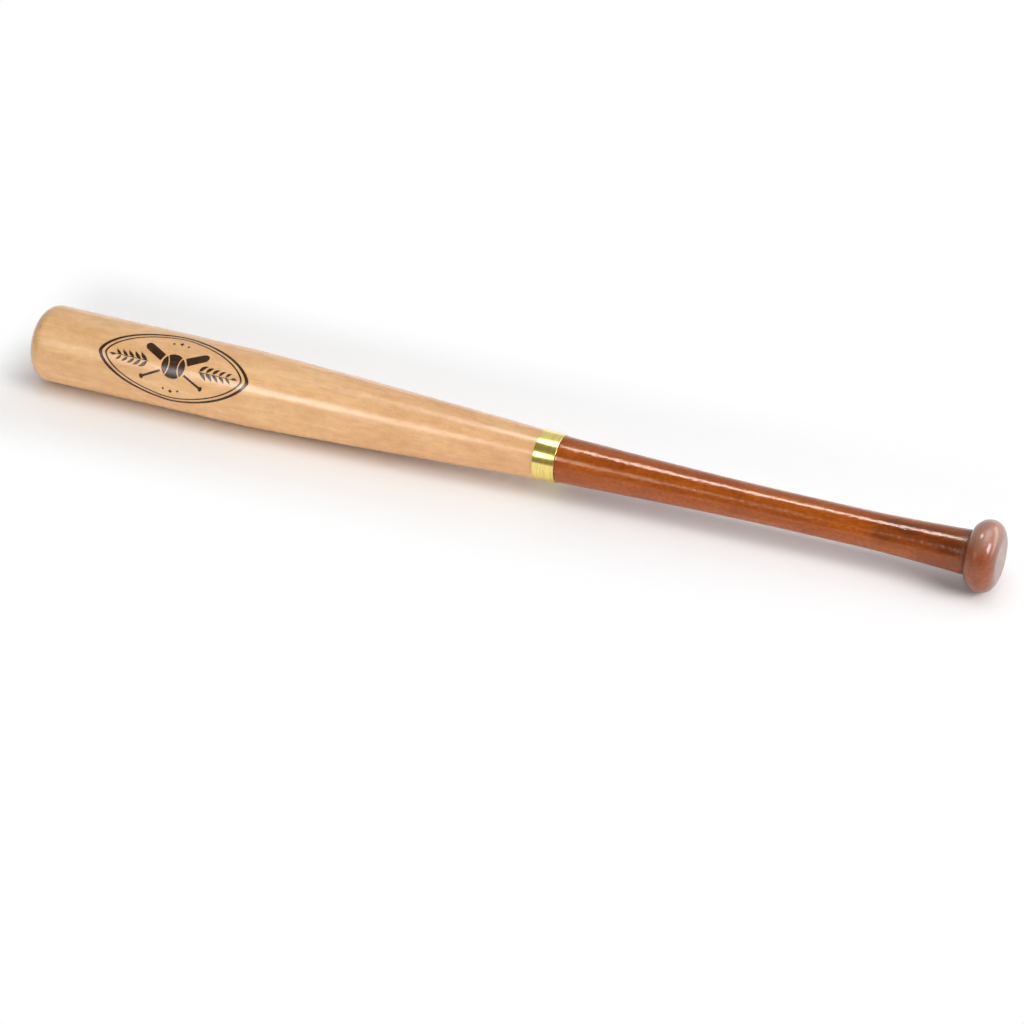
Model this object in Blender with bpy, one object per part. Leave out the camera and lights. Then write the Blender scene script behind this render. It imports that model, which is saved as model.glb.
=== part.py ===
# Wooden baseball bat, turned in three pieces: a pale barrel, a stained handle
# and a stained knob. The barrel and the handle meet on a glued dowel, under a
# brass band that sits in a rebate. The knob is glued on with a smaller dowel.
#
# Frame: the origin is the centre of the knob's end face, +X points out of the
# knob along the bat's axis and +Z is up, so the bat lies along -X.
# Sizes are in metres.

import math

import bmesh
import bpy

# Barrel, from its rounded end to the joint
BARREL_LENGTH = 0.4048
BARREL_END_DIAMETER = 0.0570
BARREL_EDGE_RADIUS = 0.0120
SHOULDER_DIAMETER = 0.0562      # where the long taper starts
SHOULDER_FROM_END = 0.169
BARREL_TAPER_POWER = 1.15       # 1 is a straight cone, more is a fuller belly

# Handle, from the joint to the seat of the knob
HANDLE_LENGTH = 0.3099
JOINT_DIAMETER = 0.0345
GRIP_DIAMETER = 0.0263
NECK_DIAMETER = 0.0320
HANDLE_TAPER_LENGTH = 0.168
FLARE_LENGTH = 0.078
HANDLE_CURVE_POWER = 1.45       # how softly both tapers run into the grip

# Knob
KNOB_DIAMETER = 0.0514
KNOB_FACE_DIAMETER = 0.0276
KNOB_FRONT_LENGTH = 0.0110      # end face to the widest ring
KNOB_BACK_LENGTH = 0.0110       # widest ring to the neck

# Brass band over the joint
BAND_WIDTH = 0.0164
BAND_PROUD = 0.0006             # how far it stands above the wood
BAND_WALL = 0.0009              # at its thinner rim, on the handle
BAND_EDGE_CHAMFER = 0.0002

# Dowels and their bores
JOINT_DOWEL_DIAMETER = 0.016
JOINT_DOWEL_IN_BARREL = 0.050
JOINT_DOWEL_IN_HANDLE = 0.046
KNOB_DOWEL_DIAMETER = 0.010
KNOB_DOWEL_IN_HANDLE = 0.030
KNOB_DOWEL_IN_KNOB = 0.0125
DOWEL_CHAMFER = 0.0010
FLUTE_DEPTH = 0.0005
FLUTE_COUNT = 12
BORE_MOUTH_CHAMFER = 0.0008
DRILL_POINT_ANGLE = 118.0       # degrees, of the cone that a drill leaves
GLUE_ROOM = 0.0010              # free depth past the end of each dowel

# Fits and facets
CLEARANCE = 0.0003
SEGMENTS = 48                   # divides by four, so that flats face +-Y and +-Z
TAPER_STEPS = 14
FLARE_STEPS = 9
EDGE_STEPS = 8

# Stations along the axis, worked out from the lengths
NECK_X = -(KNOB_FRONT_LENGTH + KNOB_BACK_LENGTH)
JOINT_X = NECK_X - HANDLE_LENGTH
BARREL_END_X = JOINT_X - BARREL_LENGTH
SHOULDER_X = BARREL_END_X + SHOULDER_FROM_END
BAND_BARREL_X = JOINT_X - BAND_WIDTH / 2
BAND_HANDLE_X = JOINT_X + BAND_WIDTH / 2
GRIP_FRONT_X = JOINT_X + HANDLE_TAPER_LENGTH
FLARE_X = NECK_X - FLARE_LENGTH


def clear_scene():
    for thing in list(bpy.data.objects):
        bpy.data.objects.remove(thing, do_unlink=True)


def make_material(name, colour, roughness, metallic=0.0):
    material = bpy.data.materials.new(name)
    material.use_nodes = True
    shader = material.node_tree.nodes["Principled BSDF"]
    shader.inputs["Base Color"].default_value = (*colour, 1.0)
    shader.inputs["Roughness"].default_value = roughness
    shader.inputs["Metallic"].default_value = metallic
    material.diffuse_color = (*colour, 1.0)
    return material


# Radius of the turned wood at a station, on each side of the joint.
# Each taper starts tangent to its plain stretch and steepens by a power law.
def barrel_radius(x):
    if x <= SHOULDER_X:
        along = (x - BARREL_END_X) / SHOULDER_FROM_END
        return (BARREL_END_DIAMETER + (SHOULDER_DIAMETER - BARREL_END_DIAMETER) * along) / 2
    along = (x - SHOULDER_X) / (JOINT_X - SHOULDER_X)
    drop = (SHOULDER_DIAMETER - JOINT_DIAMETER) * along ** BARREL_TAPER_POWER
    return (SHOULDER_DIAMETER - drop) / 2


def handle_radius(x):
    if x < GRIP_FRONT_X:
        along = (GRIP_FRONT_X - x) / HANDLE_TAPER_LENGTH
        return (GRIP_DIAMETER + (JOINT_DIAMETER - GRIP_DIAMETER) * along ** HANDLE_CURVE_POWER) / 2
    if x > FLARE_X:
        along = (x - FLARE_X) / FLARE_LENGTH
        return (GRIP_DIAMETER + (NECK_DIAMETER - GRIP_DIAMETER) * along ** HANDLE_CURVE_POWER) / 2
    return GRIP_DIAMETER / 2


# The band's rims follow the wood beside them, and its bore is a plain cylinder.
BAND_BARREL_RADIUS = barrel_radius(BAND_BARREL_X) + BAND_PROUD
BAND_HANDLE_RADIUS = handle_radius(BAND_HANDLE_X) + BAND_PROUD
BAND_BORE_RADIUS = BAND_HANDLE_RADIUS - BAND_WALL
REBATE_RADIUS = BAND_BORE_RADIUS - CLEARANCE


def stations(start, end, steps):
    return [start + (end - start) * i / steps for i in range(steps + 1)]


# A quarter ellipse in the (x, radius) plane, from one angle to another.
def ellipse_arc(centre_x, centre_radius, half_x, half_radius, start, end, steps):
    return [
        (centre_x + half_x * math.cos(a), centre_radius + half_radius * math.sin(a))
        for a in stations(math.radians(start), math.radians(end), steps)
    ]


# A blind bore in the (x, radius) plane, from its mouth to its drilled point.
# inward is +1 or -1, the way along X that leads into the wood.
def blind_bore(mouth_x, inward, dowel_diameter, depth):
    radius = dowel_diameter / 2 + CLEARANCE
    bottom_x = mouth_x + inward * (depth + GLUE_ROOM)
    point = radius / math.tan(math.radians(DRILL_POINT_ANGLE / 2))
    return [
        (mouth_x, radius + BORE_MOUTH_CHAMFER),
        (mouth_x + inward * BORE_MOUTH_CHAMFER, radius),
        (bottom_x, radius),
        (bottom_x + inward * point, 0.0),
    ]


def finish_mesh(name, shape, material):
    bmesh.ops.recalc_face_normals(shape, faces=shape.faces[:])
    mesh = bpy.data.meshes.new(name)
    shape.to_mesh(mesh)
    shape.free()
    mesh.shade_smooth()
    mesh.set_sharp_from_angle(angle=math.radians(25))
    mesh.materials.append(material)
    piece = bpy.data.objects.new(name, mesh)
    bpy.context.scene.collection.objects.link(piece)
    return piece


# Turns an outline of (x, radius) points about the X axis. Each radius is
# measured to the flats, so a piece measures its stated diameter across them.
def turn(name, outline, material, closed=False):
    shape = bmesh.new()
    half_step = math.pi / SEGMENTS
    to_corner = 1 / math.cos(half_step)
    corners = []
    for x, radius in outline:
        reach = radius * to_corner
        corners.append(shape.verts.new((x, reach * math.cos(half_step), reach * math.sin(half_step))))
    edges = [shape.edges.new(pair) for pair in zip(corners, corners[1:])]
    if closed:
        edges.append(shape.edges.new((corners[-1], corners[0])))
    bmesh.ops.spin(
        shape, geom=corners + edges, cent=(0, 0, 0), axis=(1, 0, 0),
        angle=2 * math.pi, steps=SEGMENTS, use_merge=True, use_duplicate=False,
    )
    bmesh.ops.remove_doubles(shape, verts=shape.verts[:], dist=1e-6)
    bmesh.ops.dissolve_degenerate(shape, edges=shape.edges[:], dist=1e-7)
    return finish_mesh(name, shape, material)


def make_barrel(material):
    end_radius = barrel_radius(BARREL_END_X + BARREL_EDGE_RADIUS)
    edge = ellipse_arc(
        BARREL_END_X + BARREL_EDGE_RADIUS, end_radius - BARREL_EDGE_RADIUS,
        BARREL_EDGE_RADIUS, BARREL_EDGE_RADIUS, 180, 90, EDGE_STEPS,
    )
    rim_x = BAND_BARREL_X - CLEARANCE
    taper = [(x, barrel_radius(x)) for x in stations(SHOULDER_X, rim_x, TAPER_STEPS)]
    face_x = JOINT_X - CLEARANCE
    seat = [(rim_x, REBATE_RADIUS), (face_x, REBATE_RADIUS)]
    bore = blind_bore(face_x, -1, JOINT_DOWEL_DIAMETER, JOINT_DOWEL_IN_BARREL)
    return turn("barrel", [(BARREL_END_X, 0.0)] + edge + taper + seat + bore, material)


def make_handle(material):
    face_x = NECK_X - CLEARANCE
    rim_x = BAND_HANDLE_X + CLEARANCE
    front_bore = blind_bore(JOINT_X, 1, JOINT_DOWEL_DIAMETER, JOINT_DOWEL_IN_HANDLE)
    seat = [(JOINT_X, REBATE_RADIUS), (rim_x, REBATE_RADIUS)]
    taper = [(x, handle_radius(x)) for x in stations(rim_x, GRIP_FRONT_X, TAPER_STEPS)]
    flare = [(x, handle_radius(x)) for x in stations(FLARE_X, face_x, FLARE_STEPS)]
    back_bore = blind_bore(face_x, -1, KNOB_DOWEL_DIAMETER, KNOB_DOWEL_IN_HANDLE)
    return turn("handle", front_bore[::-1] + seat + taper + flare + back_bore, material)


def make_knob(material):
    widest_x = -KNOB_FRONT_LENGTH
    back = ellipse_arc(
        widest_x, NECK_DIAMETER / 2, KNOB_BACK_LENGTH,
        (KNOB_DIAMETER - NECK_DIAMETER) / 2, 180, 90, EDGE_STEPS,
    )
    front = ellipse_arc(
        widest_x, KNOB_FACE_DIAMETER / 2, KNOB_FRONT_LENGTH,
        (KNOB_DIAMETER - KNOB_FACE_DIAMETER) / 2, 90, 0, EDGE_STEPS,
    )
    bore = blind_bore(NECK_X, 1, KNOB_DOWEL_DIAMETER, KNOB_DOWEL_IN_KNOB)
    return turn("knob", bore[::-1] + back + front[1:] + [(0.0, 0.0)], material)


def make_band(material):
    chamfer = BAND_EDGE_CHAMFER
    outline = [
        (BAND_BARREL_X, BAND_BORE_RADIUS),
        (BAND_BARREL_X, BAND_BARREL_RADIUS - chamfer),
        (BAND_BARREL_X + chamfer, BAND_BARREL_RADIUS),
        (BAND_HANDLE_X - chamfer, BAND_HANDLE_RADIUS),
        (BAND_HANDLE_X, BAND_HANDLE_RADIUS - chamfer),
        (BAND_HANDLE_X, BAND_BORE_RADIUS),
    ]
    return turn("brass_band", outline, material, closed=True)


# A hardwood dowel with pressed flutes that let the glue escape.
def make_dowel(name, start_x, end_x, diameter, material):
    shape = bmesh.new()
    points_per_flute = 4
    count = FLUTE_COUNT * points_per_flute
    rings = []
    for x, inset in (
        (start_x, DOWEL_CHAMFER), (start_x + DOWEL_CHAMFER, 0.0),
        (end_x - DOWEL_CHAMFER, 0.0), (end_x, DOWEL_CHAMFER),
    ):
        ring = []
        for i in range(count):
            in_flute = i % points_per_flute >= points_per_flute // 2
            reach = diameter / 2 - inset - (FLUTE_DEPTH if in_flute else 0.0)
            angle = 2 * math.pi * i / count
            ring.append(shape.verts.new((x, reach * math.cos(angle), reach * math.sin(angle))))
        rings.append(ring)
    for low, high in zip(rings, rings[1:]):
        for i in range(count):
            j = (i + 1) % count
            shape.faces.new((low[i], low[j], high[j], high[i]))
    shape.faces.new(rings[0][::-1])
    shape.faces.new(rings[-1])
    return finish_mesh(name, shape, material)


def main():
    clear_scene()
    natural_beech = make_material("natural_beech", (0.723, 0.423, 0.202), 0.32)
    stained_handle = make_material("stained_handle", (0.352, 0.098, 0.027), 0.26)
    stained_knob = make_material("stained_knob", (0.376, 0.127, 0.054), 0.28)
    polished_brass = make_material("polished_brass", (0.720, 0.560, 0.130), 0.18, 1.0)
    dowel_wood = make_material("dowel_wood", (0.690, 0.480, 0.280), 0.60)

    make_barrel(natural_beech)
    make_handle(stained_handle)
    make_knob(stained_knob)
    make_band(polished_brass)
    make_dowel(
        "joint_dowel", JOINT_X - CLEARANCE - JOINT_DOWEL_IN_BARREL,
        JOINT_X + JOINT_DOWEL_IN_HANDLE, JOINT_DOWEL_DIAMETER, dowel_wood,
    )
    make_dowel(
        "knob_dowel", NECK_X - CLEARANCE - KNOB_DOWEL_IN_HANDLE,
        NECK_X + KNOB_DOWEL_IN_KNOB, KNOB_DOWEL_DIAMETER, dowel_wood,
    )


main()
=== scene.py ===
from math import atan2, ceil, copysign, cos, degrees, hypot, pi, radians, sin, sqrt

import bmesh
import bpy
from mathutils import Matrix, Vector, noise


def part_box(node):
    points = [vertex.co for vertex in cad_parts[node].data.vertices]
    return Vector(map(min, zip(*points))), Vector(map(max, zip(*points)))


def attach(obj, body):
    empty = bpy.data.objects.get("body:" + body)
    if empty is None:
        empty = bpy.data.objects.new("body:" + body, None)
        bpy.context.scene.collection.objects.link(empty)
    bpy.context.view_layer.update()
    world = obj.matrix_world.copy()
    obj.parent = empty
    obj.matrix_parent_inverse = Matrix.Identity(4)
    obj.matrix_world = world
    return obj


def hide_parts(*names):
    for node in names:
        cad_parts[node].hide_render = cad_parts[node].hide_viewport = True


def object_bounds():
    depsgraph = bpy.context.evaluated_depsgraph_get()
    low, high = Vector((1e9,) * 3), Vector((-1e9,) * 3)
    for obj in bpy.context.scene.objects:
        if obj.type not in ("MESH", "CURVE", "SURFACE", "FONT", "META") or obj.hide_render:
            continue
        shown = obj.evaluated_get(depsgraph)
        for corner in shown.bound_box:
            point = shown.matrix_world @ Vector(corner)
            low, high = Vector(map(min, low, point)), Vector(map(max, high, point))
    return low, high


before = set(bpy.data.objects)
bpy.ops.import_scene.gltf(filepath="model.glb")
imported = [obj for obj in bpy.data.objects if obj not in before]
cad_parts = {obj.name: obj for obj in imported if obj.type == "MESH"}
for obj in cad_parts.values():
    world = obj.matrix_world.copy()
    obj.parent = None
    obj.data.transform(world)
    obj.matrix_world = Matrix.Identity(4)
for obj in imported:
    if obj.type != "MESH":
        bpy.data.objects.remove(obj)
cadLow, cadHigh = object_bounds()
scene = bpy.context.scene
print("frame loaded")

# All places are in metres: the knob's end face is at x = 0, the bat lies along -X, +Z is up
# and -Y is the side that the camera sees.


# Reading the turned outlines

rules = {
    "cadSides": 48,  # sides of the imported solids, with a flat on +Y
    "weld": 1e-6,
    "onAxis": 1e-5,  # a smaller radius counts as the axis
    "sameAngle": 1e-3,  # radians
    "sharpTurn": 20,  # degrees, more than this is a real edge
    "step": 0.0024,  # longest stretch between two rings
    "turnPerStep": 2.5,  # degrees
    "arris": 0.00016,  # how far real edges are eased
    "arrisShare": 0.45,  # most that easing takes of the stretch beside an edge
    "shadeSharp": 40,  # degrees, from which shading shows an edge
    "bandGap": 0.0003,  # packed gap beside each rim of the band
    "bandGapShown": 0.00005,
}


# (x, radius) points along one side of a turned piece, and whether they close in a loop
def readOutline(name):
    shape = bmesh.new()
    shape.from_mesh(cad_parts[name].data)
    bmesh.ops.remove_doubles(shape, verts=shape.verts[:], dist=rules["weld"])
    cornerAngle = pi / rules["cadSides"]
    side = set()
    for corner in shape.verts:
        radius = hypot(corner.co.y, corner.co.z)
        offSide = abs(atan2(corner.co.z, corner.co.y) - cornerAngle)
        if radius < rules["onAxis"] or offSide < rules["sameAngle"]:
            side.add(corner)
    near = {c: [e.other_vert(c) for e in c.link_edges if e.other_vert(c) in side] for c in side}
    ends = [c for c in side if len(near[c]) == 1]
    path = [min(ends or side, key=lambda c: c.co.x)]
    while True:
        following = [c for c in near[path[-1]] if c not in path]
        if not following:
            break
        path.append(following[0])
    acrossFlats = cos(cornerAngle)
    points = [Vector((c.co.x, hypot(c.co.y, c.co.z) * acrossFlats)) for c in path]
    shape.free()
    if ends and points[0].y > rules["onAxis"]:
        points.insert(0, Vector((points[0].x, 0)))
    if ends and points[-1].y > rules["onAxis"]:
        points.append(Vector((points[-1].x, 0)))
    return points, not ends


# A flowing line through the points, with its own points close enough to look round
def flow(points):
    if len(points) == 2:
        return points
    chords = [b - a for a, b in zip(points, points[1:])]
    leans = [c.normalized() for c in chords]
    tangents = []
    for i in range(1, len(chords)):
        before = chords[i - 1].length ** 3  # a long straight run keeps its own lean
        after = chords[i].length ** 3
        tangents.append((leans[i - 1] * before + leans[i] * after) / (before + after))
    tangents.insert(0, leans[0] * 2 - tangents[0])
    tangents.append(leans[-1] * 2 - tangents[-1])
    line = [points[0]]
    for i, chord in enumerate(chords):
        bend = degrees(tangents[i].angle(tangents[i + 1]))
        byLength = ceil(chord.length / rules["step"])
        byTurn = ceil(bend / rules["turnPerStep"])
        count = max(1, byLength, byTurn)
        for k in range(1, count + 1):
            t = k / count
            share = t * t * (3 - 2 * t)
            lean = tangents[i] * (1 - t) - tangents[i + 1] * t
            line.append(points[i].lerp(points[i + 1], share) + lean * (chord.length * t * (1 - t)))
    return line


def easeEdges(line, edges):
    eased = []
    for i, here in enumerate(line):
        if i not in edges:
            eased.append(here)
            continue
        before = line[i - 1]
        after = line[(i + 1) % len(line)]
        back = min(rules["arris"], (before - here).length * rules["arrisShare"])
        ahead = min(rules["arris"], (after - here).length * rules["arrisShare"])
        start = here + (before - here).normalized() * back
        end = here + (after - here).normalized() * ahead
        for t in (0, 0.25, 0.5, 0.75, 1):
            eased.append(start.lerp(here, t).lerp(here.lerp(end, t), t))
    return eased


# The wood stands close against both rims of the band, as glue and pressing leave it
def closeAtBand(points):
    gap = rules["bandGap"]
    move = gap - rules["bandGapShown"]
    low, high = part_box("brass_band")
    for point in points:
        if abs(point.x - (low.x - gap)) < gap / 3:
            point.x += move
        elif abs(point.x - (high.x + gap)) < gap / 3:
            point.x -= move


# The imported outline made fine: smooth stretches flow, and real edges are eased
def fineOutline(name):
    points, closed = readOutline(name)
    if name in ("barrel", "handle"):
        closeAtBand(points)
    count = len(points)
    sharp = []
    for i in range(0 if closed else 1, count if closed else count - 1):
        turn = (points[i] - points[i - 1]).angle_signed(points[(i + 1) % count] - points[i])
        if degrees(abs(turn)) > rules["sharpTurn"]:
            sharp.append(i)
    if closed:
        points = points[sharp[0]:] + points[:sharp[0] + 1]
        breaks = [i - sharp[0] for i in sharp] + [count]
    else:
        breaks = [0] + sharp + [count - 1]
    line = []
    edges = set()
    for start, end in zip(breaks, breaks[1:]):
        edges.add(len(line))
        line.extend(flow(points[start:end + 1])[:-1])
    if not closed:
        edges.discard(0)
        line.append(points[-1])
    low = min(p.x for p in points)
    high = max(p.x for p in points)
    inside = [Vector((min(max(p.x, low), high), p.y)) for p in line]
    return easeEdges(inside, edges), closed


# Turning: a fine lathe form, with the slight unevenness that hand sanding leaves

def turnPiece(name, settings, material):
    line, closed = fineOutline(name)
    widest = max(p.y for p in line)
    shape = bmesh.new()
    sides = settings["sides"]
    rings = []
    for point in line:
        if point.y < rules["weld"]:
            rings.append([shape.verts.new((point.x, 0, 0))])
            continue
        ring = []
        for i in range(sides):
            angle = 2 * pi * i / sides
            y = cos(angle)
            z = sin(angle)
            feel = Vector((point.x * settings["swellsPerMetre"], y, z))
            dip = settings["uneven"] * (0.5 + 0.5 * noise.noise(feel)) * point.y / widest
            ring.append(shape.verts.new((point.x, (point.y - dip) * y, (point.y - dip) * z)))
        rings.append(ring)
    pairs = list(zip(rings, rings[1:]))
    if closed:
        pairs.append((rings[-1], rings[0]))
    for low, high in pairs:
        for i in range(sides):
            j = (i + 1) % sides
            if len(low) == 1:
                shape.faces.new((low[0], high[i], high[j]))
            elif len(high) == 1:
                shape.faces.new((low[i], low[j], high[0]))
            else:
                shape.faces.new((low[i], low[j], high[j], high[i]))
    return finishPiece(name + "_turned", shape, material)


def finishPiece(name, shape, material):
    bmesh.ops.recalc_face_normals(shape, faces=shape.faces[:])
    mesh = bpy.data.meshes.new(name)
    shape.to_mesh(mesh)
    shape.free()
    mesh.shade_smooth()
    mesh.set_sharp_from_angle(angle=radians(rules["shadeSharp"]))
    mesh.materials.append(material)
    piece = bpy.data.objects.new(name, mesh)
    scene.collection.objects.link(piece)
    return piece


# Placing shader nodes: a socket given as a value is linked, anything else is set

def fill(tree, item, sockets):
    for key, value in sockets.items():
        if isinstance(value, bpy.types.NodeSocket):
            tree.links.new(value, item.inputs[key])
        else:
            item.inputs[key].default_value = value


def put(tree, kind, sockets=None, **settings):
    item = tree.nodes.new("ShaderNode" + kind)
    for name, value in settings.items():
        setattr(item, name, value)
    fill(tree, item, sockets or {})
    return item


def calc(tree, operation, *values):
    return put(tree, "Math", dict(enumerate(values)), operation=operation).outputs[0]


def fade(tree, value, low, high, start=0.0, end=1.0):
    sockets = {0: value, 1: low, 2: high, 3: start, 4: end}
    return put(tree, "MapRange", sockets, interpolation_type="SMOOTHSTEP").outputs[0]


def blend(tree, amount, first, second, how="MIX"):
    sockets = {0: amount, 6: first, 7: second}
    return put(tree, "Mix", sockets, data_type="RGBA", blend_type=how).outputs[2]


def times(tree, first, second):
    return calc(tree, "MULTIPLY", first, second)


def vectorCalc(tree, operation, *values):
    kind = "Value" if operation in ("LENGTH", "DISTANCE") else "Vector"
    return put(tree, "VectorMath", dict(enumerate(values)), operation=operation).outputs[kind]


def scaled(tree, place, scale):
    return vectorCalc(tree, "MULTIPLY", place, scale)


def axesOf(tree, place):
    return put(tree, "SeparateXYZ", {0: place}).outputs


def fromAxes(tree, x, y, z):
    return put(tree, "CombineXYZ", {0: x, 1: y, 2: z}).outputs[0]


noiseMiddle = (0.3, 0.7)  # most of a noise's values lie between these


def cloud(tree, place, scale, detail=2.0, roughness=0.5):
    sockets = {"Vector": scaled(tree, place, scale), "Scale": 1.0, "Detail": detail}
    return put(tree, "TexNoise", {**sockets, "Roughness": roughness}).outputs[0]


# Scale of a pattern that is as long and as wide as two sizes in metres
def perSize(tree, along, around):
    across = calc(tree, "DIVIDE", 1.0, around)
    lengthwise = calc(tree, "DIVIDE", 1.0, along)
    return fromAxes(tree, lengthwise, across, across)


def grey(tree, level):
    return put(tree, "CombineColor", {0: level, 1: level, 2: level}).outputs[0]


spotCore = 0.3  # of its radius


# Share of a spot round a point, 1 in its core
def spotAt(tree, place, middle, radius):
    away = vectorCalc(tree, "DISTANCE", place, middle)
    return fade(tree, away, radius * spotCore, radius, 1.0, 0.0)


# Starts a node group from its named inputs with their usual values, and its outputs
def startGroup(name, inputs, outputs):
    tree = bpy.data.node_groups.new(name, "ShaderNodeTree")
    kinds = {3: "NodeSocketVector", 4: "NodeSocketColor"}
    for label, value in inputs.items():
        kind = "NodeSocketFloat" if isinstance(value, float) else kinds[len(value)]
        socket = tree.interface.new_socket(label, in_out="INPUT", socket_type=kind)
        socket.default_value = value
    for label in outputs:
        kind = "NodeSocketColor" if label == "Colour" else "NodeSocketFloat"
        tree.interface.new_socket(label, in_out="OUTPUT", socket_type=kind)
    given = tree.nodes.new("NodeGroupInput").outputs
    return tree, given, tree.nodes.new("NodeGroupOutput")


# Node groups that the finishes share. Scales are given per metre, along the bat first.

grownBeech = {
    "drift": {"scale": (4, 9, 9), "reach": 0.016},  # how the rings wander
    "lateWood": (0.35, 0.92, 0.93),  # where a ring starts to darken, is darkest, and ends
    "fleck": {"length": 0.0036, "depth": 0.014, "width": 0.0011, "atRadius": 0.065},
    "fleckEdge": (0.12, 0.42),
    "fleckChoice": (0.15, 0.75),  # some flecks are faint and some are missing
    "curl": {"patch": (9, 34, 34), "edge": (0.50, 0.72), "scale": (230, 20, 20)},
    "fibre": (24, 700, 700),
    "fibreMiddle": (0.25, 0.75),
    "blotch": (26, 95, 95),
    "endGrain": (0.72, 0.98),  # how far the surface turns to face along the bat
}


# Beech as it grew: rings round a pith that lies beside the bat, thin plates of ray that
# show as flecks, long fibres, and end grain. Sizes are in metres, so it fits any piece.
def makeBeechFigure():
    tree, given, made = startGroup(
        "beechFigure",
        {
            "Place": (0, 0, 0), "Facing": (0, 0, 1),
            "Pith Y": 0.05, "Pith Z": -0.04, "Ring Width": 0.003,
        },
        ("Rings", "Rays", "Fibre", "Blotch", "Curl", "End Grain"),
    )
    place = given["Place"]
    drift = grownBeech["drift"]
    slow = scaled(tree, place, drift["scale"])
    wave = put(tree, "TexNoise", {"Vector": slow, "Scale": 1.0, "Detail": 1.0}).outputs["Color"]
    centred = vectorCalc(tree, "SUBTRACT", wave, (0.5, 0.5, 0.5))
    wander = scaled(tree, centred, (0, drift["reach"], drift["reach"]))
    grown = vectorCalc(tree, "ADD", place, wander)
    axes = axesOf(tree, grown)
    across = calc(tree, "SUBTRACT", axes["Y"], given["Pith Y"])
    up = calc(tree, "SUBTRACT", axes["Z"], given["Pith Z"])
    radius = vectorCalc(tree, "LENGTH", fromAxes(tree, 0.0, across, up))
    angle = calc(tree, "ARCTAN2", up, across)

    years = calc(tree, "DIVIDE", radius, given["Ring Width"])
    season = calc(tree, "FRACT", years)
    year = put(tree, "TexWhiteNoise", {"W": calc(tree, "FLOOR", years)}, noise_dimensions="1D")
    start, darkest, end = grownBeech["lateWood"]
    darkening = fade(tree, season, start, darkest)
    late = times(tree, darkening, fade(tree, season, end, 1.0, 1.0, 0.0))
    rings = times(tree, late, fade(tree, year.outputs[0], 0.0, 1.0, 0.25, 1.0))

    fleck = grownBeech["fleck"]
    rayPlace = fromAxes(
        tree,
        times(tree, axes["X"], 1 / fleck["length"]),
        times(tree, radius, 1 / fleck["depth"]),
        times(tree, angle, fleck["atRadius"] / fleck["width"]),
    )
    cells = put(tree, "TexVoronoi", {"Vector": rayPlace, "Scale": 1.0, "Randomness": 1.0})
    chosen = put(tree, "SeparateColor", {0: cells.outputs["Color"]}).outputs[0]
    shape = fade(tree, cells.outputs["Distance"], *grownBeech["fleckEdge"], 1.0, 0.0)
    rays = times(tree, shape, fade(tree, chosen, *grownBeech["fleckChoice"]))

    curl = grownBeech["curl"]
    curlPatch = fade(tree, cloud(tree, place, curl["patch"]), *curl["edge"])
    curls = times(tree, cloud(tree, place, curl["scale"], 1.0), curlPatch)
    facing = axesOf(tree, given["Facing"])["X"]
    fill(tree, made, {
        "Rings": rings,
        "Rays": rays,
        "Fibre": cloud(tree, grown, grownBeech["fibre"], 4.0, 0.6),
        "Blotch": cloud(tree, grown, grownBeech["blotch"], 3.0, 0.55),
        "Curl": curls,
        "End Grain": fade(tree, calc(tree, "ABSOLUTE", facing), *grownBeech["endGrain"]),
    })
    return tree


# Wood colour in a finish's own tones, from the figure's masks. Mottling lays patches of a
# size along and round the piece over it, up to a share lighter or darker.
def makeWoodTone():
    tree, given, made = startGroup(
        "woodTone",
        {
            "Place": (0, 0, 0), "Rings": 0.0, "Rays": 0.0, "Curl": 0.0, "Fibre": 0.5, "Blotch": 0.5,
            "Pale": (0.7, 0.5, 0.3, 1), "Warm": (0.6, 0.4, 0.2, 1), "Dark": (0.4, 0.2, 0.1, 1),
            "Rings Share": 0.1, "Rays Share": 0.2, "Curl Share": 0.1, "Fibre Share": 0.08,
            "Mottle Along": 0.003, "Mottle Round": 0.002, "Mottle Share": 0.0,
        },
        ("Colour",),
    )
    colour = blend(tree, fade(tree, given["Blotch"], *noiseMiddle), given["Pale"], given["Warm"])
    for part in ("Rings", "Rays", "Curl"):
        share = times(tree, given[part], given[part + " Share"])
        colour = blend(tree, share, colour, given["Dark"])
    size = perSize(tree, given["Mottle Along"], given["Mottle Round"])
    patches = cloud(tree, given["Place"], size)
    for pattern, middle, share in (
        (given["Fibre"], grownBeech["fibreMiddle"], given["Fibre Share"]),
        (patches, noiseMiddle, given["Mottle Share"]),
    ):
        least = calc(tree, "SUBTRACT", 1.0, share)
        most = calc(tree, "ADD", 1.0, share)
        level = fade(tree, pattern, *middle, least, most)
        colour = blend(tree, 1.0, colour, grey(tree, level), "MULTIPLY")
    fill(tree, made, {"Colour": colour})
    return tree


lacquer = {
    "smudge": (14, 40, 40),
    "dustScale": 260.0,
    "dustSize": 0.11,  # of a cell
    "dustPick": 0.94,  # only cells past this hold a nib
    "dustHeight": 0.12,  # of the waves' height
}


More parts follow.
